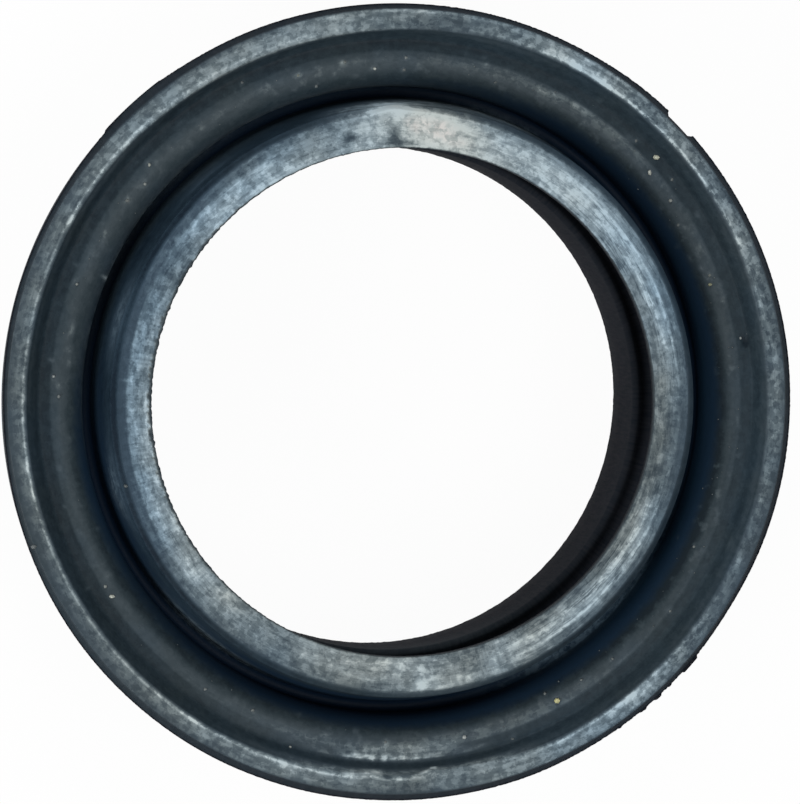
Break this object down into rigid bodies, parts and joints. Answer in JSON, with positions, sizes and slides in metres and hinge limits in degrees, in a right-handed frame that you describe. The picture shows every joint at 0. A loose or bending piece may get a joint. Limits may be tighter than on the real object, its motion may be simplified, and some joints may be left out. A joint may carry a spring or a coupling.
{
  "type": "claw coupling seal",
  "caption": "Moulded rubber ring seal for a claw hose coupling: a raised sealing collar round the bore, a relief groove, a flanged rim and a grooved back.",
  "frame": {"origin": "centre of the flat back face, on the waterway's axis", "axes": "+Z along the waterway, from the back face towards the sealing face; the ring is round, so X and Y are free"},
  "size_m": [0.0342, 0.0342, 0.0095],
  "materials": {
    "rubber": "matte, scuffed grey on the rim and the sealing face"
  },
  "bodies": {
    "root": {"seal_ring": "rubber"}
  },
  "joints": []
}
